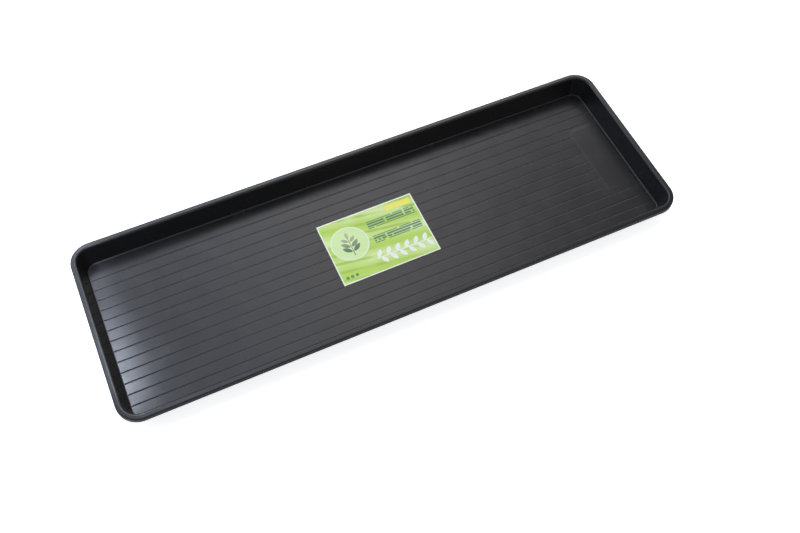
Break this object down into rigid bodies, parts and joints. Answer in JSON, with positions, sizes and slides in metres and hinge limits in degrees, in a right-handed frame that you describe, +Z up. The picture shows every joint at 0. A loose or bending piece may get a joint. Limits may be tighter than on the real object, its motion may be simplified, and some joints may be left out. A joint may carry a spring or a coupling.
{
  "type": "garden tray",
  "caption": "Long shallow black plastic garden tray with a turned-down rim, sloping walls, a grooved floor and a printed paper label stuck on its middle.",
  "frame": {"origin": "on the ground under the centre of the tray, at the height of the feet of the floor's ribs", "axes": "+X along the tray's length, to the end with the bare panel; +Y across it to the back; +Z up, out of the open top"},
  "size_m": [1.16, 0.391, 0.0481],
  "materials": {
    "black_plastic": "satin",
    "label_paper": "printed, lightly coated",
    "adhesive": "thin tacky coat"
  },
  "bodies": {
    "root": {"tray": "black_plastic", "label": "label_paper", "label_adhesive": "adhesive"}
  },
  "joints": []
}
